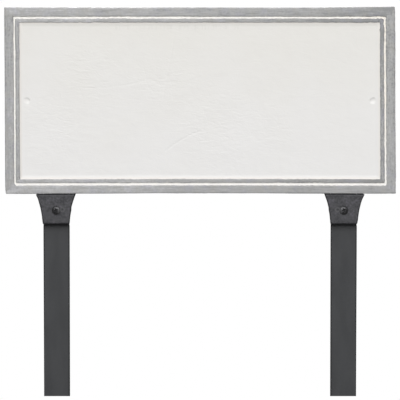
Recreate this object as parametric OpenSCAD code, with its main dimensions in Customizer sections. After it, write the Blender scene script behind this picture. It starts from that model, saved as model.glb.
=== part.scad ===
// Lawn plaque: a cast rectangular plate with a painted border, carried on two
// flat stakes by fishtail brackets. Millimetres, +Z up, front towards -Y, with
// the origin at ground level, midway between the stakes.

/* [Plaque] */
// Width of the plaque
plaque_w = 384; // [350:1:460]
// Height of the plaque
plaque_h = 183; // [140:1:240]
// Thickness at the edge, from the border's face to the back rim
plaque_t = 9.5; // [8.5:0.5:14]
// Height of the border and the inner rim above the field
relief_h = 1.3; // [1:0.1:2]
// Wall behind the field
field_wall = 4; // [3:0.5:4.5]
// How much the edge leans in from the back to the front
edge_draft = 0.4; // [0:0.1:1]
// Round on the front edges of the border and the inner rim
edge_r = 0.4; // [0.3:0.1:0.6]

/* [Border and rim] */
// Width of the raised outer border
border_w = 8.5; // [6:0.5:14]
// Width of the groove between the border and the inner rim
groove_w = 2.3; // [1.8:0.1:4]
// Depth of the groove
groove_h = 0.9; // [0.8:0.1:1.5]
// Width of the raised inner rim
rim_w = 3.8; // [3:0.1:6]
// How much each wall of the groove leans in
groove_draft = 0.3; // [0.1:0.1:0.6]
// Radius of the cove between the inner rim and the field
cove_r = 9; // [4:0.5:14]

/* [Back of the plaque] */
// Width of the rim round the hollow back
back_rim_w = 10; // [6:0.5:14]
// How much the walls of the hollow lean in
hollow_draft = 0.6; // [0:0.1:1.5]
// Diameter of each boss at its face
boss_d = 13; // [10:0.5:16]
// How much wider a boss is at its root
boss_draft = 1; // [0:0.1:2]
// Metal left in front of a tapped hole
tap_floor = 2.5; // [1.5:0.25:3]

/* [Wall fixing dimples] */
// Diameter of each dimple in the field
dimple_d = 6.4; // [4:0.2:9]
// Depth of each dimple
dimple_depth = 1.3; // [0.6:0.1:2]
// Distance from the side edge of the plaque to a dimple
dimple_inset = 22.3; // [21:0.1:40]

/* [Stakes] */
// Distance between the centrelines of the stakes
stake_spacing = 282.5; // [220:0.5:285]
// Width of the flat bar
stake_w = 25.4; // [20:0.1:30]
// Thickness of the flat bar
stake_t = 4.8; // [3:0.1:6.5]
// Length of the bar that shows below the bracket
stake_drop = 169; // [120:0.5:500]
// How far the bar reaches up behind the plaque
stake_rise = 6; // [2:0.5:8]
// Round on the long edges of the bar
stake_edge_r = 1; // [0.2:0.1:1.2]

/* [Brackets] */
// Height of the bracket that shows below the plaque
bracket_drop = 29.5; // [26:0.5:45]
// Thickness of the bracket in front of the stake
bracket_t = 7.5; // [5:0.5:8]
// Thickness of the pad behind the plaque
pad_t = 5; // [3.5:0.5:7]
// How much the foot of the bracket stands out beyond the stake
foot_lip = 0.4; // [0.1:0.1:2]
// How much each flank flares out by the edge of the plaque
flare = 6.5; // [5:0.1:9]
// Radius of the hollow curve of each flank
flank_r = 86; // [70:1:110]
// Chamfer on the front edges
bracket_chamfer = 0.8; // [0.3:0.1:1.5]
// Radius of the pad's top corners
pad_corner_r = 7; // [2:0.5:7.5]
// Wall from the stake socket to a plaque screw's axis
screw_wall = 7; // [6:0.5:9]
// Margin of the pad round a plaque screw's axis
pad_margin = 8; // [7.5:0.5:10]
// Height of the plaque screws above the plaque's lower edge
screw_rise = 20; // [18.5:0.5:24]
// Depth of the stake bolt below the plaque's lower edge
bolt_fall = 16; // [13:0.5:18]
// Where the socket's side rails end, below the plaque's lower edge
rail_fall = 17; // [8:0.5:18]

/* [Fasteners] */
// Diameter of every screw's thread
screw_d = 4.2; // [3.5:0.1:4.6]
// Diameter of a pan head
head_d = 8; // [7.2:0.1:10]
// Height of a pan head
head_h = 2.6; // [2:0.1:3.5]
// Depth of the cross recess
recess_depth = 1.6; // [1:0.1:1.8]
// Length of each arm of the cross recess, tip to tip
recess_span = 4.4; // [3:0.1:5]
// Width of each arm of the cross recess
recess_w = 1; // [0.6:0.1:1.4]
// Width of the nut across its flats
nut_af = 8.7; // [8:0.1:10]
// Thickness of the nut
nut_t = 3.2; // [2.5:0.1:4.5]
// Diameter of the flat washer
washer_d = 9.5; // [8.5:0.5:13]
// Thickness of the flat washer
washer_t = 1.2; // [0.8:0.1:2]
// Diameter of a lock washer
lock_d = 7.4; // [6.6:0.1:8.2]
// Thickness of a lock washer
lock_t = 1.1; // [0.7:0.1:1.6]
// Width of the split in a lock washer
lock_gap = 0.8; // [0.4:0.1:1.2]
// Length of thread that shows behind the nut
bolt_tail = 1.7; // [0.6:0.1:4]

/* [Clearances] */
// Gap between the plaque's lower edge and the bracket's ledge
ledge_gap = 0.3; // [0:0.1:1]
// Gap on each side of the stake in its socket, and above it
socket_gap = 0.3; // [0.1:0.1:0.8]
// Gap round a screw in a plain hole
hole_gap = 0.35; // [0.2:0.05:0.6]
// Gap round a screw in a thread
thread_gap = 0.05; // [0.02:0.01:0.1]

/* [Hidden] */

off_white = "#e8e7e3";
silver_paint = "#abacac";
charcoal_paint = "#4a4b4e";
black_finish = "#2c2d2f";
zinc_finish = "#a9abae";

curve_fn = 64;
arc_steps = 6;
cut_over = 1; // how far a cutting shape runs past the face that it cuts
left = -1;
right = 1;
outer = 1;
inner = -1;

// Heights
foot_z = stake_drop;
plaque_z = foot_z + bracket_drop;
plaque_mid_z = plaque_z + plaque_h / 2;
stake_top_z = plaque_z + stake_rise;
bolt_z = plaque_z - bolt_fall;
screw_z = plaque_z + screw_rise;

// Depths: back_y is the plane where the plaque's back meets the brackets
front_depth = max(plaque_t, bracket_t + head_h);
nut_stack = stake_t + washer_t + lock_t + nut_t + bolt_tail;
screw_stack = pad_t + lock_t + head_h;
back_y = (front_depth - max(nut_stack, screw_stack)) / 2;

// Plaque
hollow_depth = plaque_t - relief_h - field_wall;
tap_depth = plaque_t - relief_h - tap_floor;
rim_inset = border_w + groove_w;
field_inset = rim_inset + rim_w;
dimple_r = ((dimple_d / 2) ^ 2 + dimple_depth ^ 2) / (2 * dimple_depth);

// Bracket
socket_w = stake_w + 2 * socket_gap;
screw_offset = socket_w / 2 + screw_wall;
pad_half = screw_offset + pad_margin;
pad_top = screw_rise + pad_margin;
foot_half = stake_w / 2 + foot_lip;
flank_chord = norm([flare, bracket_drop]);
flank_reach = sqrt(flank_r ^ 2 - (flank_chord / 2) ^ 2) / flank_chord;
flank_x = foot_half + flare / 2 + bracket_drop * flank_reach;
flank_z = -bracket_drop / 2 - flare * flank_reach;

// Fasteners
plain_hole_r = screw_d / 2 + hole_gap;
tapped_hole_r = screw_d / 2 + thread_gap;
tip_chamfer = 0.5;
screw_runout = 0.8; // from a plaque screw's tip to the end of its tapped hole
bolt_length = bracket_t + nut_stack;
screw_length = lock_t + pad_t + tap_depth - screw_runout;
head_side = 0.35; // share of a pan head's height that is straight

function arc(centre, r, from, to) =
    [for (i = [0:arc_steps])
        let (a = from + (to - from) * i / arc_steps)
            centre + r * [cos(a), sin(a)]];

// A block whose four sides follow one profile: steps are [inset, depth] pairs,
// with each depth measured forwards from the plaque's back.
module profiled_block(steps) {
    intersection() {
        linear_extrude(height = plaque_h + 2 * cut_over, center = true)
            polygon(mirrored_profile(plaque_w / 2, steps));
        rotate([0, -90, 0])
            linear_extrude(height = plaque_w + 2 * cut_over, center = true)
                polygon(mirrored_profile(plaque_h / 2, steps));
    }
}

function mirrored_profile(half, steps) = concat(
    [for (s = steps) [half - s[0], -s[1]]],
    [for (i = [len(steps) - 1:-1:0]) [steps[i][0] - half, -steps[i][1]]]);

// Profile of the outer side of a ridge that ends at the border's face
function outward_side(root, lean, foot) = concat(
    [[root, foot], [root + lean, plaque_t - edge_r]],
    [for (p = arc([root + lean + edge_r, plaque_t - edge_r], edge_r, 180, 90)) p]);

// Profile of the space inside a ridge, cut through the border's face
function inward_side(top, lean, foot) = concat(
    [[top + lean, foot], [top, plaque_t - edge_r]],
    [for (p = arc([top - edge_r, plaque_t - edge_r], edge_r, 0, 90)) p],
    [[top - edge_r, plaque_t + cut_over]]);

// Profile of the field's recess: a cove that runs into the round of the rim's edge
cove_sweep = acos(1 - relief_h / (cove_r + edge_r));
cove_run = (cove_r + edge_r) * sin(cove_sweep) - edge_r;
function field_side() = concat(
    [for (p = arc([field_inset + cove_run, plaque_t - relief_h + cove_r], cove_r, 270,
                  270 - cove_sweep)) p],
    [for (p = arc([field_inset - edge_r, plaque_t - edge_r], edge_r, 90 - cove_sweep, 90)) p],
    [[field_inset - edge_r, plaque_t + cut_over]]);

module at_each_boss() {
    for (side = [left, right]) {
        for (row = [outer, inner])
            translate([side * (stake_spacing / 2 + row * screw_offset), 0, screw_rise - plaque_h / 2])
                children();
        translate([side * (plaque_w / 2 - dimple_inset), 0, 0])
            children();
    }
}

// The plate with its hollow back and its bosses
module plaque_plate() {
    face = plaque_t - relief_h;
    difference() {
        profiled_block([[0, 0], [edge_draft * face / (plaque_t - edge_r), face]]);
        profiled_block([[back_rim_w, -cut_over], [back_rim_w, 0],
                        [back_rim_w + hollow_draft, hollow_depth]]);
    }
    at_each_boss()
        rotate([90, 0, 0])
            cylinder(h = hollow_depth + field_wall / 2, r1 = boss_d / 2,
                     r2 = boss_d / 2 + boss_draft / 2, $fn = curve_fn);
}

// The raised border and rim as one frame, from its outer side to the field
module raised_frame() {
    root = plaque_t - relief_h - field_wall / 2;
    root_lean = edge_draft * root / (plaque_t - edge_r);
    difference() {
        profiled_block(outward_side(root_lean, edge_draft - root_lean, root));
        profiled_block(concat([[field_inset + cove_run, root]], field_side()));
    }
}

// What the groove takes out of the frame
module groove_cut() {
    groove_floor = plaque_t - groove_h;
    difference() {
        profiled_block(inward_side(border_w, groove_draft, groove_floor));
        profiled_block(concat(
            [[rim_inset - groove_draft, groove_floor - cut_over]],
            outward_side(rim_inset - groove_draft, groove_draft, groove_floor),
            [[rim_inset + edge_r, plaque_t + 2 * cut_over]]));
    }
}

module plaque() {
    translate([0, back_y, plaque_mid_z])
        difference() {
            union() {
                color(off_white) plaque_plate();
                color(silver_paint) raised_frame();
            }
            color(off_white) {
                groove_cut();
                for (side = [left, right])
                    translate([side * (plaque_w / 2 - dimple_inset),
                               relief_h - plaque_t - dimple_r + dimple_depth, 0])
                        sphere(r = dimple_r, $fn = curve_fn);
            }
            for (side = [left, right], row = [outer, inner])
                translate([side * (stake_spacing / 2 + row * screw_offset), cut_over,
                           screw_rise - plaque_h / 2])
                    rotate([90, 0, 0])
                        cylinder(h = tap_depth + cut_over, r = tapped_hole_r, $fn = curve_fn);
        }
}

// Front view of a bracket, with its origin on the plaque's lower edge
module fishtail() {
    difference() {
        polygon(concat(
            [[-pad_half, -bracket_drop], [pad_half, -bracket_drop]],
            arc([pad_half - pad_corner_r, pad_top - pad_corner_r], pad_corner_r, 0, 90),
            arc([pad_corner_r - pad_half, pad_top - pad_corner_r], pad_corner_r, 90, 180)));
        for (side = [left, right])
            translate([side * flank_x, flank_z])
                circle(r = flank_r, $fn = 4 * curve_fn);
    }
}

// Side view of a bracket as [depth, height]: the block in front of the stake,
// its ledge under the plaque, and the pad that rises behind
function bracket_side() = [
    [0, -bracket_drop],
    [bracket_chamfer - bracket_t, -bracket_drop],
    [-bracket_t, bracket_chamfer - bracket_drop],
    [-bracket_t, -ledge_gap - bracket_chamfer],
    [bracket_chamfer - bracket_t, -ledge_gap],
    [0, -ledge_gap],
    [0, pad_top],
    [pad_t, pad_top],
    [pad_t, pad_t - rail_fall],
    [0, -rail_fall]
];

module bracket(side) {
    color(charcoal_paint)
        translate([side * stake_spacing / 2, back_y, plaque_z])
            difference() {
                intersection() {
                    translate([0, pad_t + cut_over, 0])
                        rotate([90, 0, 0])
                            linear_extrude(height = bracket_t + pad_t + 2 * cut_over)
                                fishtail();
                    rotate([90, 0, 90])
                        linear_extrude(height = 2 * (pad_half + cut_over), center = true)
                            polygon(bracket_side());
                }
                stake_socket();
                flank_chamfers();
                for (row = [outer, inner])
                    translate([row * screw_offset, -cut_over, screw_rise])
                        rotate([-90, 0, 0])
                            cylinder(h = pad_t + 2 * cut_over, r = plain_hole_r, $fn = curve_fn);
                translate([0, cut_over, -bolt_fall])
                    rotate([90, 0, 0])
                        cylinder(h = bracket_t + 2 * cut_over, r = plain_hole_r, $fn = curve_fn);
            }
}

// The slot behind the bracket that holds the head of the stake
module stake_socket() {
    translate([-socket_w / 2, 0, -bracket_drop - cut_over])
        cube([socket_w, pad_t + cut_over, bracket_drop + cut_over + stake_rise + socket_gap]);
}

// Cones that take the front edge off each flank
module flank_chamfers() {
    reach = bracket_chamfer + 2 * cut_over;
    for (side = [left, right])
        translate([side * flank_x, bracket_chamfer - bracket_t + cut_over, flank_z])
            rotate([90, 0, 0])
                cylinder(h = reach, r1 = flank_r - cut_over, r2 = flank_r - cut_over + reach,
                         $fn = 4 * curve_fn);
}

module stake(side) {
    color(charcoal_paint)
        translate([side * stake_spacing / 2, back_y, 0])
            linear_extrude(height = stake_top_z)
                polygon(concat(
                    arc([stake_w / 2 - stake_edge_r, stake_edge_r], stake_edge_r, -90, 0),
                    arc([stake_w / 2 - stake_edge_r, stake_t - stake_edge_r], stake_edge_r, 0, 90),
                    arc([stake_edge_r - stake_w / 2, stake_t - stake_edge_r], stake_edge_r, 90, 180),
                    arc([stake_edge_r - stake_w / 2, stake_edge_r], stake_edge_r, 180, 270)));
}

module drilled_stake(side) {
    difference() {
        stake(side);
        translate([side * stake_spacing / 2, back_y - cut_over, bolt_z])
            rotate([-90, 0, 0])
                cylinder(h = stake_t + 2 * cut_over, r = plain_hole_r, $fn = curve_fn);
    }
}

// A pan head screw along Z, with the underside of its head at the origin
module pan_head_screw(length) {
    r = screw_d / 2;
    dome = head_h * (1 - head_side);
    difference() {
        rotate_extrude($fn = curve_fn)
            polygon(concat(
                [[0, -length], [r - tip_chamfer, -length], [r, tip_chamfer - length],
                 [r, 0], [head_d / 2, 0]],
                [for (i = [0:arc_steps])
                    let (a = 90 * i / arc_steps)
                        [head_d / 2 * cos(a), head_h - dome + dome * sin(a)]]));
        for (turn = [0, 90])
            rotate([0, 0, turn])
                translate([-recess_span / 2, -recess_w / 2, head_h - recess_depth])
                    cube([recess_span, recess_w, recess_depth + cut_over]);
    }
}

module hex_nut() {
    corner_r = nut_af / 2 / cos(30);
    chamfer = corner_r - nut_af / 2;
    difference() {
        intersection() {
            cylinder(h = nut_t, r = corner_r, $fn = 6);
            rotate_extrude($fn = curve_fn)
                polygon([[0, 0], [nut_af / 2, 0], [corner_r, chamfer / 2],
                         [corner_r, nut_t - chamfer / 2], [nut_af / 2, nut_t], [0, nut_t]]);
        }
        translate([0, 0, -cut_over])
            cylinder(h = nut_t + 2 * cut_over, r = tapped_hole_r, $fn = curve_fn);
    }
}

module washer_ring(d, t) {
    difference() {
        cylinder(h = t, r = d / 2, $fn = curve_fn);
        translate([0, 0, -cut_over])
            cylinder(h = t + 2 * cut_over, r = plain_hole_r, $fn = curve_fn);
    }
}

// A spring washer pressed flat, with its slanted split
module lock_washer() {
    slant = 30;
    difference() {
        washer_ring(lock_d, lock_t);
        translate([lock_d / 4 + cut_over, 0, lock_t / 2])
            rotate([slant, 0, 0])
                cube([lock_d / 2 + 2 * cut_over, lock_gap, 4 * lock_t], center = true);
    }
}

// Places a fastener behind the stake, its base at the given depth, facing back
module behind_stake(side, depth) {
    translate([side * stake_spacing / 2, back_y + depth, bolt_z])
        rotate([-90, 0, 0])
            children();
}

// Places a fastener behind the bracket's pad, facing back
module behind_pad(side, row, depth) {
    translate([side * (stake_spacing / 2 + row * screw_offset), back_y + depth, screw_z])
        rotate([-90, 0, 0])
            children();
}

module stake_bolt(side) {
    color(black_finish)
        translate([side * stake_spacing / 2, back_y - bracket_t, bolt_z])
            rotate([90, 0, 0])
                pan_head_screw(bolt_length);
}

module stake_washer(side) {
    color(zinc_finish)
        behind_stake(side, stake_t)
            washer_ring(washer_d, washer_t);
}

module stake_lock_washer(side) {
    color(zinc_finish)
        behind_stake(side, stake_t + washer_t)
            lock_washer();
}

module stake_nut(side) {
    color(zinc_finish)
        behind_stake(side, stake_t + washer_t + lock_t)
            hex_nut();
}

module bracket_screw(side, row) {
    color(zinc_finish)
        behind_pad(side, row, pad_t + lock_t)
            pan_head_screw(screw_length);
}

module bracket_lock_washer(side, row) {
    color(zinc_finish)
        behind_pad(side, row, pad_t)
            lock_washer();
}

plaque();
bracket(left);  // left_bracket
bracket(right);  // right_bracket
drilled_stake(left);  // left_stake
drilled_stake(right);  // right_stake
stake_bolt(left);  // left_stake_bolt
stake_bolt(right);  // right_stake_bolt
stake_washer(left);  // left_stake_washer
stake_washer(right);  // right_stake_washer
stake_lock_washer(left);  // left_stake_lock_washer
stake_lock_washer(right);  // right_stake_lock_washer
stake_nut(left);  // left_stake_nut
stake_nut(right);  // right_stake_nut
bracket_screw(left, outer);  // left_bracket_outer_screw
bracket_screw(left, inner);  // left_bracket_inner_screw
bracket_screw(right, inner);  // right_bracket_inner_screw
bracket_screw(right, outer);  // right_bracket_outer_screw
bracket_lock_washer(left, outer);  // left_bracket_outer_lock_washer
bracket_lock_washer(left, inner);  // left_bracket_inner_lock_washer
bracket_lock_washer(right, inner);  // right_bracket_inner_lock_washer
bracket_lock_washer(right, outer);  // right_bracket_outer_lock_washer
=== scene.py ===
import math
import bmesh
import bpy
from mathutils import Matrix, Vector, noise


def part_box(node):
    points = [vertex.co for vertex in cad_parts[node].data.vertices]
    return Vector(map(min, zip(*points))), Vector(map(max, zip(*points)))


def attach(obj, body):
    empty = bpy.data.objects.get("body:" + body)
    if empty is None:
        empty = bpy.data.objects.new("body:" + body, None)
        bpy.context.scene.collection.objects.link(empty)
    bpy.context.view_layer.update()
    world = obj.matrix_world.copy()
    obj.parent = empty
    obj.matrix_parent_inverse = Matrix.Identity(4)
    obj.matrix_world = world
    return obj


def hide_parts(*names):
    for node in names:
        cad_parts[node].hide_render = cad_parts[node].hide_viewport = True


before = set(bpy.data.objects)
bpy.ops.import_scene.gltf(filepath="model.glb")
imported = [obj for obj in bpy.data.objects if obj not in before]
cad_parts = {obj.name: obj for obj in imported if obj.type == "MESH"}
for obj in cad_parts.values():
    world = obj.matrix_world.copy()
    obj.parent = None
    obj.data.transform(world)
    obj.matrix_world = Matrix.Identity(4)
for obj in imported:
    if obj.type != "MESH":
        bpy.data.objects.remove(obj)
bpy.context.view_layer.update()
print("frame loaded:", len(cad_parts), "nodes")

mm = 0.001
sides = {"left": -1, "right": 1}
plaqueLow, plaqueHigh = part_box("plaque")
frontY = plaqueLow.y / mm  # the border's face; everything on the casting is measured back from it
castThickness = (plaqueHigh.y - plaqueLow.y) / mm
halfWidth = (plaqueHigh.x - plaqueLow.x) / 2 / mm
halfHeight = (plaqueHigh.z - plaqueLow.z) / 2 / mm
middleZ = (plaqueHigh.z + plaqueLow.z) / 2 / mm
boltX = (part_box("right_stake")[0].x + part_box("right_stake")[1].x) / 2 / mm
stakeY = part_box("right_stake")[0].y / mm
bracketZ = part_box("right_bracket")[0].z / mm


# Shader maths

class Wave:  # one shader socket; arithmetic on it adds Math nodes
    def __init__(self, recipe, socket):
        self.recipe = recipe
        self.socket = socket

    def apply(self, operation, *others):
        inputs = dict(enumerate((self, *others)))
        return self.recipe.node("ShaderNodeMath", {"operation": operation}, inputs)

    def __add__(self, other):
        return self.apply("ADD", other)

    __radd__ = __add__

    def __sub__(self, other):
        return self.apply("SUBTRACT", other)

    def __rsub__(self, other):
        return (self * -1) + other

    def __mul__(self, other):
        return self.apply("MULTIPLY", other)

    __rmul__ = __mul__

    def __truediv__(self, other):
        return self.apply("DIVIDE", other)

    def __abs__(self):
        return self.apply("ABSOLUTE")

    def larger(self, other):
        return self.apply("MAXIMUM", other)

    def below(self, other):
        return self.apply("LESS_THAN", other)

    def ramp(self, start, end):  # smoothly 0 to 1 as the value goes from start to end
        inputs = {"Value": self, "From Min": start, "From Max": end}
        return self.recipe.node("ShaderNodeMapRange", {"interpolation_type": "SMOOTHSTEP"}, inputs)

    def fall(self, start, end):  # smoothly 1 to 0 over the same stretch
        return 1 - self.ramp(start, end)


class Recipe:  # the nodes of a material, or of the world
    def __init__(self, owner, shader="Principled BSDF"):
        self.owner = owner
        owner.use_nodes = True
        self.tree = owner.node_tree
        self.shader = self.tree.nodes[shader]

    def node(self, kind, settings=None, inputs=None, output=0):
        made = self.tree.nodes.new(kind)
        for key, value in (settings or {}).items():
            setattr(made, key, value)
        for key, value in (inputs or {}).items():
            self.feed(made.inputs[key], value)
        return Wave(self, made.outputs[output])

    def feed(self, socket, value):
        if isinstance(value, Wave):
            self.tree.links.new(value.socket, socket)
        else:
            socket.default_value = value

    def millimetres(self):
        place = self.node("ShaderNodeTexCoord", output="Object")
        return self.node("ShaderNodeVectorMath", {"operation": "SCALE"}, {0: place, "Scale": 1 / mm})

    def stretch(self, place, x, y, z):
        return self.node("ShaderNodeVectorMath", {"operation": "MULTIPLY"}, {0: place, 1: (x, y, z)})

    def axis(self, place, name):
        return self.node("ShaderNodeSeparateXYZ", None, {"Vector": place}, name)

    def attribute(self, name):
        return self.node("ShaderNodeAttribute", {"attribute_name": name}, output="Fac")

    def noise(self, place, size, detail=2.0, roughness=0.5, twist=0.0):
        inputs = {"Vector": place, "Scale": 1 / size, "Detail": detail, "Roughness": roughness,
                  "Distortion": twist}
        return self.node("ShaderNodeTexNoise", None, inputs)

    def blend(self, share, first, second):
        settings = {"data_type": "RGBA"}
        return self.node("ShaderNodeMix", settings, {0: share, 6: first, 7: second}, 2)

    def tint(self, share, first, second):
        return self.blend(share, colour(*first), colour(*second))

    def relief(self, height):  # height in millimetres
        return self.node("ShaderNodeBump", None, {"Height": height, "Distance": mm, "Strength": 1.0})

    def paper(self, kind, end):  # plain white to the camera, and the shader as it is to the light
        white = self.node(kind, None, {"Color": (1, 1, 1, 1), "Strength": 1.0})
        seen = self.node("ShaderNodeLightPath", output="Is Camera Ray")
        own = Wave(self, self.shader.outputs[0])
        both = self.node("ShaderNodeMixShader", None, {0: seen, 1: own, 2: white})
        self.feed(self.tree.nodes[end].inputs["Surface"], both)

    def finish(self, **values):
        for name, value in values.items():
            self.feed(self.shader.inputs[name.replace("_", " ")], value)
        return self.owner


def colour(red, green, blue):  # display values 0 to 255, as read off a screen
    def linear(value):
        value = value / 255
        return value / 12.92 if value <= 0.04045 else ((value + 0.055) / 1.055) ** 2.4
    return (linear(red), linear(green), linear(blue), 1.0)


def distance(x, z, centreX, centreZ):  # how far each place on the face is from a centre
    fromX = x - centreX
    fromZ = z - centreZ
    return (fromX * fromX + fromZ * fromZ).apply("SQRT")


# Finishes

plaquePaint = {
    "offWhite": (233, 232, 231),
    "offWhiteShadedWarm": (228, 226, 220),
    "offWhiteEdge": (233, 229, 224),
    "coveShade": (120, 112, 104),  # painted shade at the foot of the left-hand rim
    "grooveWhite": (248, 246, 241),
    "grooveCream": (250, 243, 233),  # the same coat high up at the right-hand end
    "silver": (168, 168, 168),
    "silverDark": (142, 143, 143),
    "silverLight": (190, 190, 191),
    "silverBlue": (160, 159, 184),
    "silverWarm": (172, 166, 153),
    "silverDepth": 0.42,  # how far the roller reached down the walls of the groove
    "silverDepthField": 0.55,  # and down the wall to the field
    "streakLength": 15.0,
    "streakWidth": 1.4,
    "towardsRight": -0.22,  # the roller ran dry along the top and the bottom
    "towardsTop": -0.08,
    "edgeShadeColour": (60, 60, 60),  # painted shade along the edges of the silver
    "edgeShade": 0.11,  # and how strongly
    # flaws in the silver: (x, z, radius) of small rings where the paint pooled
    "flaws": ((177.7, 367.6, 2.3), (-178.3, 213.6, 1.3), (-179.0, 209.8, 1.0), (-172.5, 211.0, 0.9)),
    "flawColour": (70, 72, 70),
    # long creases in the field, each part of a circle: (centre x, centre z, radius, from x, to x, depth)
    "creases": ((26.0, 177.0, 87.0, -35, 2, 2.0), (-1706.0, 651.5, 1707.5, -38, -24, 0.7),
                (-109.0, 503.0, 200.5, -114, -50, 0.7)),
    "creaseWidth": 1.7,
    # where the short creases gather: (x, z, radius)
    "drifts": ((-152, 262, 42), (-108, 318, 34), (-34, 308, 36), (16, 266, 46), (70, 262, 26)),
    "creaseSize": 34.0,
    "creaseHeight": -0.06,
    "rippleSize": 6.5,
    "rippleHeight": 0.15,
    "shadeUnderRimSpan": (-85, 45),  # where a painted shade lies in patches under the top rim: from x, to x
    "shadeUnderRimColour": (214, 212, 207),
    "peelSize": 1.6,  # of the orange peel that both coats dried with
    "peelHeight": 0.02,
    "gloss": 0.46,  # the roughness of the white coat
}


def makePlaquePaint(p=plaquePaint):
    border = plaque["border"]
    rimStart = border + plaque["groove"]
    rimEnd = rimStart + plaque["rim"]
    r = Recipe(bpy.data.materials.new("off_white_and_silver_paint"))
    place = r.millimetres()
    x, y, z = (r.axis(place, name) for name in "XYZ")
    insetX = halfWidth - abs(x)
    insetZ = halfHeight - abs(z - middleZ)
    depth = y - frontY
    raised = (z - middleZ) / halfHeight  # -1 along the bottom, 1 along the top

    # the silver is rolled over whatever stands proud and brushed down the outside, and its edge
    # wanders a little down the walls
    inset = r.attribute("inset")
    wander = r.noise(place, 3.2, 2.0) - 0.5
    outside = inset.fall(1.0, 2.0)
    inside = inset.ramp(rimEnd - 1.6, rimEnd - 0.6)
    reach = p["silverDepth"] + inside * (p["silverDepthField"] - p["silverDepth"])
    reach = reach + wander * (0.7 - inside * 0.5) + outside * (castThickness - 1.2 + wander * 1.6)
    silver = (depth - reach).fall(-0.1, 0.1)

    # the strokes follow each side of the border, and meet at the corners
    upright = insetX.below(insetZ + (r.noise(place, 5.0) - 0.5) * 6)
    alongX = r.stretch(place, 1 / p["streakLength"], 0, 1 / p["streakWidth"])
    alongZ = r.stretch(place, 1 / p["streakWidth"], 0, 1 / p["streakLength"])
    stroke = r.node("ShaderNodeMix", {"data_type": "VECTOR"}, {0: upright, 4: alongX, 5: alongZ}, 1)
    streak = r.noise(stroke, 1.0, 3.0, 0.6)
    broad = r.noise(r.stretch(stroke, 0.4, 0.4, 0.4), 1.0, 2.0)
    patch = r.noise(place, 19.0, 2.0) * 0.4 + broad * 0.6
    speckle = r.noise(place, 2.2, 2.0, 0.6)
    along = x / halfWidth * (1 - upright * 0.85) * p["towardsRight"] - upright * 0.02
    along = along + raised * p["towardsTop"]
    faceUp = raised * (1 - upright)
    onRim = inset.ramp(rimStart - 0.8, rimStart + 0.2)
    # the rim is darker towards the right, and painted lighter along the top, less so along the bottom:
    # painted light against the shade on its rounded edges
    along = along - onRim * (x.ramp(0.0, halfWidth) * 0.2 - abs(faceUp) * 0.05 - faceUp * 0.03)
    lively = 1 - x / halfWidth * (1 - upright) * 0.35  # the left-hand end is streakier
    tone = (streak - 0.5) * (1.0 + upright * 0.2) * lively + (patch - 0.5) * 0.8 + 0.5 + along
    tone = tone + (speckle - 0.5) * (0.5 + upright * 0.4) * lively
    dark = r.tint(tone.ramp(0.12, 0.5), p["silverDark"], p["silver"])
    silverColour = r.blend(tone.ramp(0.5, 0.95), dark, colour(*p["silverLight"]))

    # painted shade along the edges of the silver, most of all along those that face up, and down the two
    # ends
    ends = upright * (0.7 + x.below(0) * 0.4)
    paintedEdgeShade = 0
    for line, way in ((0, 1), (border, -1), (rimStart, 1), (rimEnd, -1)):
        close = abs(inset - line).fall(0.1, 1.1)
        paintedEdgeShade = paintedEdgeShade + close * (0.7 + ends + faceUp * way * 0.95)
    # painted shade down the rounded outer ends
    paintedEdgeShade = paintedEdgeShade + upright * inset.fall(0.8, 4.5) * 0.55
    paintedEdgeShade = paintedEdgeShade * (0.6 + speckle * 0.8) * p["edgeShade"]
    silverColour = r.blend(paintedEdgeShade, silverColour, colour(*p["edgeShadeColour"]))

    # metal flakes lie differently from place to place, bluish or warm
    hue = r.noise(place, 8.0, 1.5)
    silverColour = r.blend(hue.ramp(0.5, 0.75) * 0.15, silverColour, colour(*p["silverBlue"]))
    silverColour = r.blend(hue.fall(0.25, 0.5) * 0.15, silverColour, colour(*p["silverWarm"]))

    pools = 0
    for flawX, flawZ, radius in p["flaws"]:
        pools = pools + abs(distance(x, z, flawX, flawZ) - radius).fall(0.0, 0.6)
    pools = pools * silver
    silverColour = r.blend(pools * 0.3, silverColour, colour(*p["flawColour"]))

    # the white coat: warmer at random, darker and warmer high up as a painted shade, warmer along the rim,
    # and with patches of painted shade under the top rim
    # painted shade: darker and warmer towards the top, with random warmth on top of it
    warmthAndShade = (r.noise(place, 60.0, 2.0) - 0.5) * 0.25 + raised * 0.16
    fieldColour = r.tint(warmthAndShade.ramp(-0.2, 0.3), p["offWhite"], p["offWhiteShadedWarm"])
    rimSide = inside * inset.fall(rimEnd + 0.2, rimEnd + 3.4)
    fieldColour = r.blend(rimSide, fieldColour, colour(*p["offWhiteEdge"]))
    # painted shade in the cove along the left-hand rim
    leftCove = inside * inset.fall(rimEnd, rimEnd + 2.9) * upright * x.below(0)
    fieldColour = r.blend(leftCove * 0.07, fieldColour, colour(*p["coveShade"]))
    # painted shade in patches under the top rim
    shadeFrom, shadeTo = p["shadeUnderRimSpan"]
    shadeUnderRim = r.noise(r.stretch(place, 1, 0, 0.25), 3.0, 2.0).ramp(0.45, 0.65) * faceUp.ramp(0.5, 0.6)
    shadeUnderRim = shadeUnderRim * inset.ramp(rimEnd + 1.9, rimEnd + 3.4) * inset.fall(rimEnd + 5.9, rimEnd + 8.4)
    shadeUnderRim = shadeUnderRim * x.ramp(shadeFrom - 10, shadeFrom) * x.fall(shadeTo - 10, shadeTo)
    fieldColour = r.blend(shadeUnderRim * 0.3, fieldColour, colour(*p["shadeUnderRimColour"]))
    inGroove = inset.ramp(border - 1.0, border) * inset.fall(rimStart + 1.2, rimStart + 2.2)
    grooveTone = inGroove * (r.noise(place, 3.5, 2.0) * 1.6 - 0.1)
    creamy = x.ramp(halfWidth * 0.7, halfWidth) * z.ramp(middleZ - 75, middleZ)
    grooveColour = r.tint(creamy, p["grooveWhite"], p["grooveCream"])
    whiteColour = r.blend(grooveTone, fieldColour, grooveColour)
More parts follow.
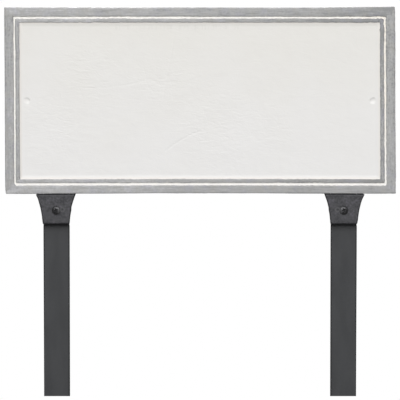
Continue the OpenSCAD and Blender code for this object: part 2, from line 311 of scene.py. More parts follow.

    # faint creases in the white coat: short ones in drifts, and a few long ones listed one by one
    swirl = r.noise(place, p["creaseSize"], 2.5, 0.55, 1.6)
    crease = abs(swirl - 0.5).fall(0.0, 0.03)
    drift = 0.1
    for spotX, spotZ, size in p["drifts"]:
        drift = distance(x, z, spotX, spotZ).fall(size * 0.3, size * 1.3).larger(drift)
    crease = crease * drift * 0.35
    bend = (r.noise(place, 13.0, 2.0) - 0.5) * 2
    for centreX, centreZ, radius, low, high, deep in p["creases"]:
        away = distance(x, z, centreX, centreZ) - radius
        stretch = x.ramp(low, low + 3) * x.fall(high - 3, high)
        crease = crease + abs(away + bend).fall(0.0, p["creaseWidth"]) * stretch * deep
    ripple = r.noise(r.stretch(place, 0.5, 1, 1.3), p["rippleSize"], 2.5, 0.6, 1.2)
    peel = r.noise(place, p["peelSize"], 2.0)
    whiteHeight = ripple * p["rippleHeight"] * (0.5 + drift * 1.4)
    whiteHeight = crease * p["creaseHeight"] + whiteHeight + peel * p["peelHeight"]
    silverHeight = streak * 0.05 + peel * (p["peelHeight"] * 2) - pools * 0.1
    height = whiteHeight * (1 - silver) + silverHeight * silver

    return r.finish(
        Base_Color=r.blend(silver, whiteColour, silverColour),
        Metallic=silver * 0.35,
        Roughness=p["gloss"] + (peel - 0.5) * 0.12 + silver * (tone * -0.12),
        Specular_IOR_Level=0.4,
        Normal=r.relief(height),
    )


castPaint = {
    "body": (66, 66, 69),
    "dusk": (51, 51, 55),
    "bloom": (83, 81, 88),
    "weathered": (178.0, 192.0),  # the mottle grows stronger between these heights
    "shadowBand": 195.0,  # height of a painted shadow band under the plaque's edge
    "lightUnderPlaque": 197.0,  # and of the painted light in the strip right under it
    "lightUnderPlaqueColour": (104, 104, 108),
    # rings, (distance from the middle, height, radius, shade): a painted shadow round each bolt's head, and
    # beside it a dark speck in a light ring
    "boltShadowAndMarks": ((boltX, 182.5, 4.15, 42), (135.2, 183.0, 0.3, 26), (135.2, 183.0, 2.0, 92)),
    "edge": (0.5, 1.6),  # painted shade along each flank, back to normal between these distances from it
    "edgeShadeColour": (32, 32, 34),
}


def makeCastPaint(p=castPaint):
    r = Recipe(bpy.data.materials.new("charcoal_paint_on_casting"))
    place = r.millimetres()
    x, z = r.axis(place, "X"), r.axis(place, "Z")
    high = z.ramp(*p["weathered"])
    spots = (r.noise(place, 6.5, 2.0, 0.5) - 0.5) * 0.55 + (r.noise(place, 2.1, 2.0, 0.6) - 0.5) * 0.75
    mottle = spots * (0.95 + high * 0.45) + 0.48 + high * 0.03
    # painted shadow in a band under the plaque's edge
    mottle = mottle - abs(z - p["shadowBand"]).fall(0.0, 3.5) * 0.1
    fine = r.noise(place, 1.0, 3.0, 0.6)
    dark = r.tint(mottle.ramp(0.3, 0.5), p["dusk"], p["body"])
    tone = r.blend(mottle.ramp(0.5, 0.72), dark, colour(*p["bloom"]))
    # painted light in the strip right under the plaque, where its shadow falls
    lightUnderPlaque = z.ramp(p["lightUnderPlaque"] - 0.4, p["lightUnderPlaque"] + 0.8) * (0.35 + mottle)
    tone = r.blend(lightUnderPlaque, tone, colour(*p["lightUnderPlaqueColour"]))
    # the first ring is a painted shadow round each bolt's head; the others are marks in the casting
    for markX, markZ, radius, shade in p["boltShadowAndMarks"]:
        near = abs(distance(abs(x), z, markX, markZ) - radius).fall(0.0, 0.7)
        tone = r.blend(near * 0.75, tone, colour(shade, shade, shade + 2))
    # painted shade along each flank
    edge = r.attribute("fromEdge").fall(*p["edge"])
    tone = r.blend(edge * 0.8, tone, colour(*p["edgeShadeColour"]))
    return r.finish(
        Base_Color=tone,
        Metallic=0.0,
        Roughness=0.5 + (mottle - 0.5) * 0.25,
        Specular_IOR_Level=0.35,
        Normal=r.relief(fine * 0.06 + mottle * 0.12),
    )


barPaint = {
    "bar": (56, 57, 59),
    "barLight": (61, 62, 64),
    "shadow": (146.0, 168.0),  # it darkens between these heights, towards the bracket
    "edge": (11.3, 12.1),  # and a painted shade along each edge, between these distances from the middle of the bar
    "edgeShadeColour": (34, 35, 37),
}


def makeBarPaint(p=barPaint):
    r = Recipe(bpy.data.materials.new("charcoal_paint_on_bar"))
    place = r.millimetres()
    broad = r.noise(r.stretch(place, 1, 1, 0.25), 12.0, 2.0)
    peel = r.noise(place, 1.4, 2.0)
    shade = broad.ramp(0.3, 0.7) - r.axis(place, "Z").ramp(*p["shadow"]) * 0.8
    tone = r.tint(shade.larger(0), p["bar"], p["barLight"])
    # painted shade along the bar's edges
    fromMiddle = abs(abs(r.axis(place, "X")) - boltX)
    tone = r.blend(fromMiddle.ramp(*p["edge"]) * 0.85, tone, colour(*p["edgeShadeColour"]))
    return r.finish(
        Base_Color=tone,
        Roughness=0.42 + (broad - 0.5) * 0.12,
        Specular_IOR_Level=0.35,
        Normal=r.relief(peel * 0.014 + broad * 0.02),
    )


blackOxide = {
    "deep": (42, 42, 44),
    "bloom": (70, 70, 72),
    "highlight": (112, 112, 114),
    "highlightReach": (0.6, 2.8),  # painted highlight between these distances from the bolt's middle, on its inner side
}


def makeBlackOxide(p=blackOxide):
    r = Recipe(bpy.data.materials.new("black_oxide"))
    place = r.millimetres()
    bloom = r.noise(place, 1.1, 3.0, 0.6)
    # painted highlight on the inner side of each bolt's head
    highlight = (boltX - abs(r.axis(place, "X"))).ramp(*p["highlightReach"]) * 0.8
    tone = r.tint(bloom.ramp(0.3, 0.75), p["deep"], p["bloom"])
    tone = r.blend(highlight, tone, colour(*p["highlight"]))
    return r.finish(
        Base_Color=tone,
        Metallic=0.55,
        Roughness=0.36 + (bloom - 0.5) * 0.2,
        Normal=r.relief(bloom * 0.02),
    )


zincPlate = {
    "dull": (148, 150, 154),
    "bright": (184, 185, 184),
    "grainSize": 0.8,
}


def makeZinc(p=zincPlate):
    r = Recipe(bpy.data.materials.new("zinc_plate"))
    place = r.millimetres()
    grain = r.noise(place, p["grainSize"], 3.0, 0.6)
    return r.finish(
        Base_Color=r.tint(grain.ramp(0.3, 0.7), p["dull"], p["bright"]),
        Metallic=0.9,
        Roughness=0.34 + (grain - 0.5) * 0.2,
        Normal=r.relief(grain * 0.012),
    )


# Small mesh tools

def roundedPath(corners, steps=4):  # corners are (across, depth, radius); each radius becomes an arc
    path = [Vector(corners[0][:2])]
    for before, here, after in zip(corners, corners[1:], corners[2:]):
        corner = Vector(here[:2])
        toBefore = (Vector(before[:2]) - corner).normalized()
        toAfter = (Vector(after[:2]) - corner).normalized()
        half = toBefore.angle(toAfter) / 2
        reach = here[2] / math.tan(half)
        centre = corner + (toBefore + toAfter).normalized() * (here[2] / math.sin(half))
        start = corner + toBefore * reach - centre
        end = corner + toAfter * reach - centre
        turn = start.angle_signed(end)
        for step in range(steps + 1):
            path.append(centre + Matrix.Rotation(-turn * step / steps, 2) @ start)
    path.append(Vector(corners[-1][:2]))
    return path


def splitLong(path, longest):  # adds points so that no step is longer than longest
    result = [path[0]]
    for start, end in zip(path, path[1:]):
        count = max(1, math.ceil((end - start).length / longest))
        result += [start.lerp(end, step / count) for step in range(1, count + 1)]
    return result


def makePiece(name, vertices, faces, material, smooth=True, values=None):  # vertices in millimetres
    mesh = bpy.data.meshes.new(name)
    mesh.from_pydata([Vector(v) * mm for v in vertices], [], faces)
    for key, numbers in (values or {}).items():
        mesh.attributes.new(key, "FLOAT", "POINT").data.foreach_set("value", numbers)
    work = bmesh.new()
    work.from_mesh(mesh)
    bmesh.ops.recalc_face_normals(work, faces=work.faces)
    work.to_mesh(mesh)
    work.free()
    mesh.polygons.foreach_set("use_smooth", [smooth] * len(mesh.polygons))
    mesh.materials.append(material)
    piece = bpy.data.objects.new(name, mesh)
    bpy.context.scene.collection.objects.link(piece)
    return piece


def bake(piece):  # leaves the result of the modifiers as the piece's own mesh
    evaluated = piece.evaluated_get(bpy.context.evaluated_depsgraph_get())
    mesh = bpy.data.meshes.new_from_object(evaluated)
    piece.modifiers.clear()
    piece.data = mesh
    return piece


def breakEdges(piece, width):
    bevel = piece.modifiers.new("edges", "BEVEL")
    bevel.width = width * mm
    bevel.segments = 2
    bevel.limit_method = "ANGLE"
    bevel.angle_limit = math.radians(40)
    bevel.harden_normals = False
    return piece


def seat(piece, node):  # the piece takes the place of its CAD node
    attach(piece, "root")
    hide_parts(node)
    return piece


# The plaque casting; all lengths are in millimetres

plaque = {
    "relief": 1.3,
    "grooveDepth": 0.9,
    "border": 8.5,
    "groove": 2.3,
    "rim": 3.8,
    "wallLean": 0.3,  # how far each wall of the groove leans over its height
    "edgeRadius": 0.33,
    "rimWall": 0.75,  # the steep top of the rim's inner side, above the cove
    "rimLean": 0.3,
    "coveRadius": 12.0,
    "coveSlope": 10.0,
    "backRim": 10.0,
    "hollow": 4.2,
    "hollowLean": 0.6,
    "fieldStep": 2.05,
    # radius of each corner of the plaque, of the border's inner edge, and of the rim's two edges
    "outerCorner": 0.5,
    "borderCorner": {(-1, 1): 0.9, (1, 1): 0.8, (-1, -1): 3.4, (1, -1): 1.2},
    "rimCorner": {(-1, 1): 0.9, (1, 1): 2.0, (-1, -1): 1.5, (1, -1): 1.2},
    "fieldCorner": 0.8,
    "bow": {"top": -0.15, "bottom": 0.7, "left": 0.1, "right": 0.0},  # how far in, at each middle
    "bowInside": 0.4,  # the share of it that the inner lines take
    "lift": {(-1, 1): 0.5, (1, 1): 1.0, (-1, -1): 0.0, (1, -1): 0.35},  # how far each corner stands up
    "pull": {(-1, 1): 0.0, (1, 1): 0.2, (-1, -1): 0.65, (1, -1): 0.0},  # and how far it is knocked in
    "pullHeight": 9.0,
    # drilled inwards and upwards, and pinched along that slant
    "dimple": {"inset": 22.0, "radius": 3.5, "depth": 0.66, "slant": (1.5, 0.6), "pinch": 0.13},
    "boss": {"offset": 20.0, "rise": 20.0, "radius": 6.5, "root": 7.0, "hole": 2.15, "holeDepth": 5.7},
    # how far each side's lines sit further in than they were drawn: the outer edge, the border's
    # inner edge, and the rim's outer and inner edge
    "drift": {"left": (0.13, 0.68, 0.06, 0.25), "right": (0.0, 0.65, 0.25, 0.4),
              "top": (0.0, 0.25, 0.05, -0.06), "bottom": (0.0, -0.35, 0.05, -0.14)},
    "lean": {"left": 0.5, "right": 0.4},  # how far each end is out of square
    "wander": ((40.0, 0.16), (11.0, 0.16), (3.4, 0.26), (1.6, 0.24)),  # (length, size) of the waves
    "rough": ((180, -55, 45), (-150, 80, 55)),  # where the lines wander most: (x, z, radius)
    "roughLength": 45.0,
    "roughBelow": 5.0,  # only waves shorter than this are rougher there
    "calm": 0.55,  # the share of it that the lines nearest to the edge take
    "calmTo": 4.0,
    "settle": (18.0, 30.0),  # all this unevenness dies out between these two distances from the edge
    "sand": ((17.0, 0.1), (5.5, 0.05), (2.1, 0.035)),  # (length, height) of the hills in the skin
    "seeds": {"front": 20.5, "back": 40.5, "across": 3.5, "upwards": 43.5, "rough": 71.5},
}


def frontPath(p=plaque):  # section of the face from the outer edge to the field: (inset, depth)
    rim = p["border"] + p["groove"]
    lean = p["wallLean"]
    edge = p["edgeRadius"]
    slope = math.radians(p["coveSlope"])
    coveTop = rim + p["rim"] + 0.1
    return [
        (0.0, 3.0, 0),
        (0.12, 0.0, 0.3),
        (p["border"] - edge * 0.4, 0.0, edge),
        (p["border"] + lean, p["grooveDepth"], 0.25),
        (rim - lean, p["grooveDepth"], 0.25),
        (rim + edge * 0.4, 0.0, edge),
        (coveTop - p["rimLean"], 0.0, edge * 0.7),
        (coveTop, p["rimWall"], 0.3),
        (coveTop + (p["relief"] - p["rimWall"]) / math.tan(slope), p["relief"], p["coveRadius"]),
        (coveTop + 6.0, p["relief"], 0),
    ]


def backPath(p=plaque):
    floor = castThickness - p["hollow"]
    return [
        (0.0, 6.5, 0),
        (0.02, castThickness, 0.45),
        (p["backRim"], castThickness, 0.7),
        (p["backRim"] + p["hollowLean"], floor, 1.2),
        (p["backRim"] + 5.0, floor, 0),
    ]


def gridLines(path, halfSize, count):  # insets of the grid's lines, from one edge to the middle
    insets = [point.x for point in path]
    rest = count - len(insets)
    step = (halfSize - insets[-1]) / rest
    return insets + [insets[-1] + step * (k + 1) for k in range(rest)]


def fullLines(insets, halfSize):  # (position, inset, level) of each line from one edge to the other
    last = len(insets) - 1
    low = [(inset - halfSize, inset, level) for level, inset in enumerate(insets)]
    high = [(halfSize - inset, inset, level) for level, inset in enumerate(insets) if level < last]
    return low + high[::-1]


def wobble(x, z, size, seed):
    return noise.noise(Vector((x / size, z / size, seed)))


def alongLines(inset, edge, lines, field, p=plaque):  # goes evenly from one line's value to the next
    rim = p["border"] + p["groove"]
    flat = p["settle"][0]
    stops = [0.0, p["border"], rim, rim + p["rim"], flat, flat + 10.0]
    values = [edge, lines[0], lines[1], lines[2], lines[2], field]
    for k in range(len(stops) - 1):
        if inset < stops[k + 1]:
            share = (inset - stops[k]) / (stops[k + 1] - stops[k])
            return values[k] * (1 - share) + values[k + 1] * share
    return field


def outlineWarp(x, z, insetX, insetZ, p=plaque):  # hand-made unevenness of every line on the casting
    sideX = 1 if x > 0 else -1
    sideZ = 1 if z > 0 else -1
    inset = min(insetX, insetZ)
    settleFrom, settled = p["settle"]
    near = min(1.0, max(0.0, (settled - inset) / (settled - settleFrom)))

    # round each corner, every line by its own radius
    corner = (sideX, sideZ)
    radii = (p["borderCorner"][corner], p["rimCorner"][corner], p["fieldCorner"])
    radius = alongLines(inset, p["outerCorner"], radii, p["fieldCorner"])
    along = abs(insetX - insetZ)
    shiftX = shiftZ = 0.0
    if along < radius and inset < settleFrom + 2:
        angle = math.pi / 4 * (1 + along / radius)
        inAlong = radius * (1 - math.cos(angle)) - along
        inAcross = radius * (1 - math.sin(angle))
        if insetX > insetZ:
            shiftX, shiftZ = -sideX * inAlong, -sideZ * inAcross
        else:
            shiftX, shiftZ = -sideX * inAcross, -sideZ * inAlong

    # no line is quite where the pattern maker drew it, and the plate is out of square
    sideNameX, sideNameZ = "right" if x > 0 else "left", "top" if z > 0 else "bottom"
    driftX, driftZ = p["drift"][sideNameX], p["drift"][sideNameZ]
    shiftX -= sideX * alongLines(insetX, driftX[0], driftX[1:], 0.0)
    shiftZ -= sideZ * alongLines(insetZ, driftZ[0], driftZ[1:], 0.0)
    shiftX -= near * p["lean"][sideNameX] * z / halfHeight

    # the sides bow in slightly between the corners
    outermost = max(0.0, 1 - inset / p["border"])
    bow = p["bow"]
    bent = near * (p["bowInside"] + (1 - p["bowInside"]) * outermost)
    shiftZ -= sideZ * bent * bow[sideNameZ] * max(0.0, 1 - (x / halfWidth) ** 2) ** 1.6
    shiftX -= sideX * bent * bow[sideNameX] * max(0.0, 1 - (z / halfHeight) ** 2) ** 1.6

    # the upper corners stand up a little, and the lower ones are knocked in
    shiftZ += outermost * p["lift"][corner] * max(0.0, abs(x) / halfWidth * 2 - 1) ** 1.5
    shiftX -= sideX * outermost * p["pull"][corner] * max(0.0, 1 - insetZ / p["pullHeight"]) ** 2

    # and each line wanders on its own, in some stretches more than in others
    seeds = p["seeds"]
    calm = p["calm"] if inset < p["calmTo"] else 1.0
    rough = calm * (0.8 + 1.2 * wobble(x, z, p["roughLength"], seeds["rough"]))
    for spotX, spotZ, size in p["rough"]:
        rough += calm * max(0.0, 1 - math.hypot(x - spotX, z - spotZ) / size)
    for length, size in p["wander"]:
        amount = size * near * (rough if length < p["roughBelow"] else calm)
        shiftX += amount * wobble(x, z, length, seeds["across"] + inset * 0.3)
        shiftZ += amount * wobble(x, z, length, seeds["upwards"] + inset * 0.3)
    return x + shiftX, z + shiftZ


def sandSkin(x, z, seed, p=plaque):  # small hills left by the sand and the paint, in millimetres
    skin = 0.0
    for step, (length, height) in enumerate(p["sand"]):
        skin += height * wobble(x, z, length, seed + step * 2)
    return skin


def buildSheet(vertices, faces, insets, levels, linesX, linesZ, patches, seed):
    # one side of the casting; returns the loop of vertices round its edge
    first = len(vertices)
    wide, high = len(linesX), len(linesZ)
    lastDepth = levels[-1].y
    for z, insetZ, levelZ in linesZ:
        for x, insetX, levelX in linesX:
            level = min(levelX, levelZ)
            depth = levels[level].y if level < len(levels) else lastDepth
            px, pz = outlineWarp(x, z, insetX, insetZ)
            skin = sandSkin(px, pz, seed) * min(1.0, level / 4)
            vertices.append((px, frontY + depth + skin, pz + middleZ))
            insets.append(min(insetX, insetZ))

    def at(i, j):
        return first + j * wide + i

    holes = set()
    for patch in patches:
        columns = [i for i, line in enumerate(linesX) if abs(line[0] - patch["x"]) < patch["hole"]]
        rows = [j for j, line in enumerate(linesZ) if abs(line[0] - patch["z"]) < patch["hole"]]
        left, right, low, top = columns[0], columns[-1], rows[0], rows[-1]
        holes |= {(i, j) for i in range(left, right) for j in range(low, top)}
        loop = [at(i, low) for i in range(left, right)] + [at(right, j) for j in range(low, top)]
        loop += [at(i, top) for i in range(right, left, -1)] + [at(left, j) for j in range(top, low, -1)]
        fillPatch(vertices, faces, insets, loop, patch, seed)

    for j in range(high - 1):
        for i in range(wide - 1):
            if (i, j) not in holes:
                faces.append((at(i, j), at(i + 1, j), at(i + 1, j + 1), at(i, j + 1)))
    edge = [at(i, 0) for i in range(wide - 1)] + [at(wide - 1, j) for j in range(high - 1)]
    edge += [at(i, high - 1) for i in range(wide - 1, 0, -1)] + [at(0, j) for j in range(high - 1, 0, -1)]
    return edge


def fillPatch(vertices, faces, insets, loop, patch, seed):  # round rings from a square hole to its centre
    angles = []
    for index in loop:
        x, _, z = vertices[index]
        angles.append(math.atan2(z - middleZ - patch["z"], x - patch["x"]))
    before = loop
    for point in patch["rings"]:
        ring = []
        slid = patch["slant"] * (point.y - plaque["relief"])
        for angle in angles:
            out = Vector((math.cos(angle), math.sin(angle))) * point.x
            out -= patch["pinch"] * out.dot(patch["pinch"])
            x, z = patch["x"] + out.x + slid.x, patch["z"] + out.y + slid.y
            ring.append(len(vertices))
            vertices.append((x, frontY + point.y + sandSkin(x, z, seed) * 0.7, z + middleZ))
            insets.append(min(halfWidth - abs(x), halfHeight - abs(z)))
        bridge(faces, before, ring)
        before = ring
    faces.append(tuple(before))


def bridge(faces, first, second):
    count = len(first)
    for k in range(count):
        after = (k + 1) % count
        faces.append((first[k], first[after], second[after], second[k]))


def dimpleRings(p=plaque, steps=9):  # a shallow bowl, rolled over at its lip
    bowl = p["dimple"]
    floor = p["relief"]
    ball = (bowl["radius"] ** 2 + bowl["depth"] ** 2) / (2 * bowl["depth"])
    rings = [Vector((bowl["radius"] + 0.55, floor)), Vector((bowl["radius"] + 0.3, floor)),
             Vector((bowl["radius"] + 0.08, floor + 0.05))]
    for step in range(1, steps):
        radius = bowl["radius"] * (1 - step / steps)
        depth = math.sqrt(ball ** 2 - radius ** 2) - (ball - bowl["depth"])
        rings.append(Vector((radius + 0.02, floor + depth)))
    return rings


def bossRings(drilled, p=plaque):  # a tapered boss on the back, with or without its screw hole
    boss = p["boss"]
    floor = castThickness - p["hollow"]
    corners = [(boss["root"] + 1.6, floor, 0), (boss["root"], floor, 0.8),
               (boss["radius"], castThickness, 0.4)]
    if drilled:
        bottom = castThickness - boss["holeDepth"]
        corners += [(boss["hole"] + 0.3, castThickness, 0.2), (boss["hole"], bottom, 0.3), (0.5, bottom, 0)]
    else:
        corners += [(0.5, castThickness, 0)]
    return splitLong(roundedPath(corners, 3), 2.5)


def buildPlaque(paint, p=plaque):
    front = splitLong(roundedPath(frontPath()), 1.5)
    front = [point for point in front if point.x < p["border"] + p["groove"] + p["rim"] + 5.4]
    countX = len(front) + math.ceil((halfWidth - front[-1].x) / p["fieldStep"])
    countZ = len(front) + math.ceil((halfHeight - front[-1].x) / p["fieldStep"])
    back = splitLong(roundedPath(backPath()), 1.2)
    back = [point for point in back if point.x < p["backRim"] + 1.7]

    dimple = p["dimple"]
    boss = p["boss"]
    upright = {"slant": Vector((0, 0)), "pinch": Vector((0, 0))}
    dimples, bosses = [], []
    for side in (-1, 1):
        dimpleX = side * (halfWidth - dimple["inset"])
        slant = Vector((-side * dimple["slant"][0], dimple["slant"][1]))
        pinch = Vector((-side, 1)).normalized() * math.sqrt(dimple["pinch"])
        dimples.append({"x": dimpleX, "z": 0.0, "hole": dimple["radius"] + 2.0, "rings": dimpleRings(),
                        "slant": slant, "pinch": pinch})
        bosses.append({"x": dimpleX, "z": 0.0, "hole": boss["root"] + 2.9, "rings": bossRings(False),
                       **upright})
        for row in (-1, 1):
            bosses.append({"x": side * (boltX + row * boss["offset"]), "z": boss["rise"] - halfHeight,
                           "hole": boss["root"] + 2.4, "rings": bossRings(True), **upright})

    vertices, faces, insets = [], [], []
    loops = []
    for name, path, patches in (("front", front, dimples), ("back", back, bosses)):
        linesX = fullLines(gridLines(path, halfWidth, countX), halfWidth)
        linesZ = fullLines(gridLines(path, halfHeight, countZ), halfHeight)
        seed = p["seeds"][name]
        loops.append(buildSheet(vertices, faces, insets, path, linesX, linesZ, patches, seed))
    bridge(faces, loops[0], loops[1])
    piece = makePiece("plaque_casting", vertices, faces, paint, values={"inset": insets})
    print("plaque:", len(vertices), "vertices")
    return seat(piece, "plaque")


# The brackets

bracket = {
    "voxel": 0.42,
    "softening": 3,
    "hills": 0.22,
    "hillSize": 5.0,
    "grit": 0.10,
    "gritSize": 1.3,
    "outward": {"left": 0.42, "right": 0.65},  # how far the outer flank stands out
    "outwardReach": (3, 10),  # eased in between these distances from the bolt's middle
    "outwardFoot": (-2, 5),  # and between these heights over the bracket's foot
    "outwardFront": (0.3, 1.8),  # and this far before the stake's front
    "flare": 0.7,  # how much more it stands out at its top
    "flareHeight": (24, 29),
    "slim": 0.58,  # how far in the top of the inner flank is
    "slimReach": (13.2, 15),
    "slimFrom": (13, 17),
    "slimTo": (30, 34),
}


def ease(value, start, end):  # smoothly 0 to 1 as the value goes from start to end
    share = min(1.0, max(0.0, (value - start) / (end - start)))
    return share * share * (3 - 2 * share)


def buildBracket(side, paint, b=bracket):  # the CAD casting, with softened edges and a sand skin
    name, node = side + "_bracket_casting", side + "_bracket"
    piece = bpy.data.objects.new(name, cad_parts[node].data.copy())
    bpy.context.scene.collection.objects.link(piece)
    remesh = piece.modifiers.new("remesh", "REMESH")
    remesh.mode = "VOXEL"
    remesh.voxel_size = b["voxel"] * mm
    soften = piece.modifiers.new("soften", "SMOOTH")
    soften.iterations = b["softening"]
    soften.factor = 0.5
    bake(piece)
    mesh = piece.data

    # how far each place is from the two flanks, for the paint
    rows = [round(vertex.co.z / mm) for vertex in mesh.vertices]
    flanks = {}
    for vertex, row in zip(mesh.vertices, rows):
        low, high = flanks.get(row, (vertex.co.x, vertex.co.x))
        flanks[row] = (min(low, vertex.co.x), max(high, vertex.co.x))
    fromEdge = [min(vertex.co.x - flanks[row][0], flanks[row][1] - vertex.co.x) / mm
                for vertex, row in zip(mesh.vertices, rows)]
    mesh.attributes.new("fromEdge", "FLOAT", "POINT").data.foreach_set("value", fromEdge)

    for vertex, normal in zip(mesh.vertices, [v.normal.copy() for v in mesh.vertices]):
        here = vertex.co / mm
        hill = noise.noise(here / b["hillSize"]) * b["hills"]
        grit = noise.noise(here / b["gritSize"] + Vector((7, 3, 1))) * b["grit"]
        vertex.co += normal * (hill + grit) * 0.5 * mm
        outer = sides[side] * here.x - boltX
        height = here.z - bracketZ
        bent = ease(outer, *b["outwardReach"]) * b["outward"][side]
        bent *= 1 + b["flare"] * ease(height, *b["flareHeight"])
        bent *= ease(stakeY - here.y, *b["outwardFront"]) * ease(height, *b["outwardFoot"])
        slim = ease(height, *b["slimFrom"]) * (1 - ease(height, *b["slimTo"])) * b["slim"]
        bent += ease(-outer, *b["slimReach"]) * slim
        vertex.co.x += sides[side] * bent * mm
    mesh.polygons.foreach_set("use_smooth", [True] * len(mesh.polygons))
    mesh.materials.clear()
    mesh.materials.append(paint)
    print(name + ":", len(mesh.vertices), "vertices")
    return seat(piece, node)


# The stakes

stake = {
    "halfWidth": 12.7,
    "edge": 0.25,
    "swell": (0.08, 0.42),  # how much wider the bar is than it should be, at the ground and at the bracket
    "lean": {"left": (0.63, 0.08), "right": (0.45, -0.16)},  # how far in it stands, at the same two places
    "shoulder": 2.5,  # the height over which it comes true, right under the bracket
    "foot": 0.45,  # how much longer it was cut
}


def buildStake(side, paint, s=stake):  # the CAD bar, slightly out of true below its bracket
    node = side + "_stake"
    piece = bpy.data.objects.new(node + "_bar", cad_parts[node].data.copy())
    bpy.context.scene.collection.objects.link(piece)
    breakEdges(piece, s["edge"])
    bake(piece)
    work = bmesh.new()
    work.from_mesh(piece.data)
    for cut in (bracketZ, bracketZ - s["shoulder"]):
        everything = work.verts[:] + work.edges[:] + work.faces[:]
        bmesh.ops.bisect_plane(work, geom=everything, plane_co=(0, 0, cut * mm), plane_no=(0, 0, 1))
    for vertex in work.verts:
        here = vertex.co / mm
        share = here.z / bracketZ
        swell, lean = (low + (high - low) * share for low, high in (s["swell"], s["lean"][side]))
        fromMiddle = here.x - sides[side] * boltX
        shift = fromMiddle / s["halfWidth"] * swell / 2 - sides[side] * lean
        vertex.co.x += shift * ease(bracketZ - here.z, 0, s["shoulder"]) * mm
        vertex.co.z -= s["foot"] * max(0.0, 1 - share) * mm
    work.to_mesh(piece.data)
    work.free()
    piece.data.materials.clear()
    piece.data.materials.append(paint)
    return seat(piece, node)


# Screws and bolts

screw = {
    "threadRadius": 2.1,
    "pitch": 0.7,
    "threadDepth": 0.38,
    "tip": 1.2,  # the length over which the thread runs out
    "tipTaper": 0.5,
    "headHeight": 2.6,
    "headSide": 0.35,  # the share of that height that is the head's upright side
    "recessSpan": 4.4,
    "recessWidth": 1.0,
    "recessDepth": 1.6,
    "recessTurn": 28.0,  # degrees from upright
    "voxel": 0.13,
}


def spinProfile(profile, turns=48):  # (radius, height) points turned round the height axis
    vertices, faces = [], []
    rings = []
    for radius, height in profile:
        if radius < 1e-6:
            rings.append([len(vertices)] * turns)
            vertices.append((0, 0, height))
            continue
        rings.append(list(range(len(vertices), len(vertices) + turns)))
        for k in range(turns):
            angle = 2 * math.pi * k / turns
            vertices.append((radius * math.cos(angle), radius * math.sin(angle), height))
    for first, second in zip(rings, rings[1:]):
        for k in range(turns):
            after = (k + 1) % turns
            corners = [first[k], first[after], second[after], second[k]]
            faces.append(tuple(dict.fromkeys(corners)))
    return vertices, faces


def headMesh(radius, s=screw):  # a pan head with a cross recess
    height = s["headHeight"]
    side = height * s["headSide"]
    dome = height - side
    profile = [(0, -0.4), (radius * 0.6, -0.4), (radius * 0.6, 0), (radius - 0.15, 0), (radius, 0.15)]
    profile += [(radius * math.cos(math.pi / 2 * k / 10), side + dome * math.sin(math.pi / 2 * k / 10))
                for k in range(10)]
    profile += [(0, height)]
    head = makePiece("head", *spinProfile(profile, 64), None)
    cutters = []
    for turn in (0, math.pi / 2):
        top, low = height + 0.5, height - s["recessDepth"]
        spread, width = s["recessSpan"] / 2, s["recessWidth"] / 2
        shape = [(spread * 1.1, width * 1.15, top), (spread * 0.42, width * 0.7, low)]
        corners = [(a * x, b * y, z) for x, y, z in shape for a, b in ((-1, -1), (1, -1), (1, 1), (-1, 1))]
        walls = [(k, (k + 1) % 4, (k + 1) % 4 + 4, k + 4) for k in range(4)]
        cutter = makePiece("cutter", corners, [(0, 1, 2, 3), (4, 5, 6, 7)] + walls, None, False)
        cutter.data.transform(Matrix.Rotation(turn + math.radians(s["recessTurn"]), 4, "Z"))
        carve = head.modifiers.new("carve", "BOOLEAN")
        carve.operation = "DIFFERENCE"
        carve.solver = "EXACT"
        carve.object = cutter
        cutters.append(cutter)
    remesh = head.modifiers.new("remesh", "REMESH")
    remesh.mode = "VOXEL"
    remesh.voxel_size = s["voxel"] * mm
    soften = head.modifiers.new("soften", "SMOOTH")
    soften.iterations = 2
    bake(head)
    for cutter in cutters:
        bpy.data.objects.remove(cutter)
    return head


def shankMesh(length, around=32, perTurn=7, s=screw):
    # a real helix: how far the thread stands out depends on the turn and the height
    rows = math.ceil(length / s["pitch"] * perTurn)
    vertices, faces = [], []
    for row in range(rows + 1):
        height = -length * row / rows
        for k in range(around):
            angle = 2 * math.pi * k / around
            phase = (height / s["pitch"] + k / around) % 1
            ridge = 1 - abs(2 * phase - 1)
            fade = min(1.0, (length + height) / s["tip"])
            radius = s["threadRadius"] - s["threadDepth"] * (1 - ridge) - s["tipTaper"] * (1 - fade)
            vertices.append((radius * math.cos(angle), radius * math.sin(angle), height))
    for row in range(rows):
        first = [row * around + k for k in range(around)]
        bridge(faces, first, [index + around for index in first])
    faces.append(tuple(range(around)))
    faces.append(tuple(rows * around + k for k in range(around)))
    return makePiece("shank", vertices, faces, None)


def buildScrew(name, node, forward, paint, s=screw):  # forward: its head faces the viewer
    low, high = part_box(node)
    headHeight = s["headHeight"]
    middle = (low + high) / 2
    length = (high.y - low.y) / mm
    headRadius = (high.x - low.x) / 2 / mm
    head = headMesh(headRadius)
    shank = shankMesh(length - headHeight)
    work = bmesh.new()
    work.from_mesh(head.data)
    work.from_mesh(shank.data)
    mesh = bpy.data.meshes.new(name)
    work.to_mesh(mesh)
    work.free()
    bpy.data.objects.remove(head)
    bpy.data.objects.remove(shank)
    headY = low.y + headHeight * mm if forward else high.y - headHeight * mm
    turn = Matrix.Rotation(math.radians(90 if forward else -90), 4, "X")
    mesh.transform(Matrix.Translation((middle.x, headY, middle.z)) @ turn)
    mesh.polygons.foreach_set("use_smooth", [True] * len(mesh.polygons))
    mesh.materials.append(paint)
    piece = bpy.data.objects.new(name, mesh)
    bpy.context.scene.collection.objects.link(piece)
    return seat(piece, node)


# Washers and nuts

brokenEdges = {"washer": 0.12, "lock_washer": 0.1, "nut": 0.12}  # the width of each one's broken edges


def dressNode(node, material, edge):  # a CAD piece that keeps its shape, with its sharp edges broken
    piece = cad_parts[node]
    piece.data.materials.clear()
    piece.data.materials.append(material)
    return breakEdges(piece, edge)


# Studio

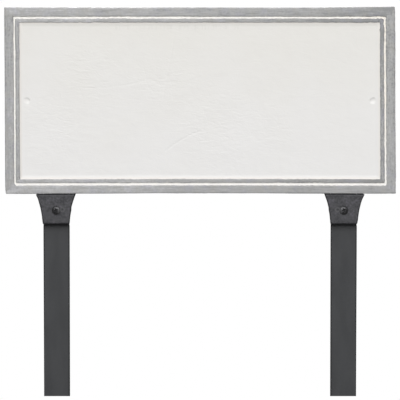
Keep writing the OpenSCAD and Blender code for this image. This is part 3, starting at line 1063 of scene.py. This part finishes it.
studio = {
    "frameWidth": 0.3928,  # what the picture spans at the plaque's face, in metres
    "frameMiddle": 0.1925,  # and the height of its middle
    "lens": 500.0,
    "sensor": 36.0,
    "floorReach": 4000.0,
    "floorDrop": 0.8,  # how far the floor is below the stakes' ends
    "floorColour": (0.2, 0.2, 0.2, 1),
    # the strength of the light from all round, from low down to high up
    "ambient": {"From Min": -0.1, "From Max": 0.9, "To Min": 0.16, "To Max": 0.5},
    "target": (0, 0, 0.27),
    # (name, place, width, height, watts), in metres
    "softboxes": (("key", (0, -5.1, 3.45), 5.6, 4.2, 351.0), ("rear", (0.6, 3.0, 2.2), 2.4, 1.6, 95.0)),
}


def addSoftbox(name, place, width, height, watts, target):
    light = bpy.data.lights.new(name, "AREA")
    light.shape = "RECTANGLE"
    light.size = width
    light.size_y = height
    light.energy = watts
    lamp = bpy.data.objects.new(name, light)
    lamp.location = place
    lamp.rotation_euler = (Vector(target) - Vector(place)).to_track_quat("-Z", "Y").to_euler()
    lamp.visible_camera = False
    bpy.context.scene.collection.objects.link(lamp)


def buildWorld(s=studio):
    world = bpy.data.worlds.new("studio")
    bpy.context.scene.world = world
    r = Recipe(world, "Background")
    direction = r.node("ShaderNodeTexCoord", output="Generated")
    glow = r.node("ShaderNodeMapRange", None, {"Value": r.axis(direction, "Z"), **s["ambient"]})
    r.finish(Color=(1, 1, 1, 1), Strength=glow)
    r.paper("ShaderNodeBackground", "World Output")


def buildFloor(s=studio):
    reach = s["floorReach"]
    corners = [(-reach, -reach, 0), (reach, -reach, 0), (reach, reach, 0), (-reach, reach, 0)]
    r = Recipe(bpy.data.materials.new("pale_floor"))
    material = r.finish(Base_Color=s["floorColour"], Roughness=0.9)
    r.paper("ShaderNodeEmission", "Material Output")
    floor = makePiece("floor", corners, [(0, 1, 2, 3)], material)
    floor.location.z = -s["floorDrop"] * mm


def placeCamera(s=studio):
    camera = bpy.data.cameras.new("camera")
    camera.lens = s["lens"]
    camera.sensor_width = s["sensor"]
    away = s["frameWidth"] * s["lens"] / s["sensor"]
    eye = bpy.data.objects.new("camera", camera)
    eye.location = (0, plaqueLow.y - away, s["frameMiddle"])
    eye.rotation_euler = (math.pi / 2, 0, 0)
    bpy.context.scene.collection.objects.link(eye)
    bpy.context.scene.camera = eye


# Assembly

plaqueFinish = makePlaquePaint()
castFinish = makeCastPaint()
barFinish = makeBarPaint()
blackFinish = makeBlackOxide()
zincFinish = makeZinc()
print("finishes mixed")

buildPlaque(plaqueFinish)
for side in sides:
    buildBracket(side, castFinish)
    buildStake(side, barFinish)
    buildScrew(side + "_bolt", side + "_stake_bolt", True, blackFinish)
    for part, width in brokenEdges.items():
        dressNode(f"{side}_stake_{part}", zincFinish, width)
    for row in ("outer", "inner"):
        label = f"{side}_bracket_{row}"
        buildScrew(label + "_bolt", label + "_screw", False, zincFinish)
        dressNode(label + "_lock_washer", zincFinish, brokenEdges["lock_washer"])
print("pieces built")

buildWorld()
buildFloor()
for softbox in studio["softboxes"]:
    addSoftbox(*softbox, studio["target"])
placeCamera()
bpy.context.scene.view_settings.view_transform = "Standard"
print("studio built")
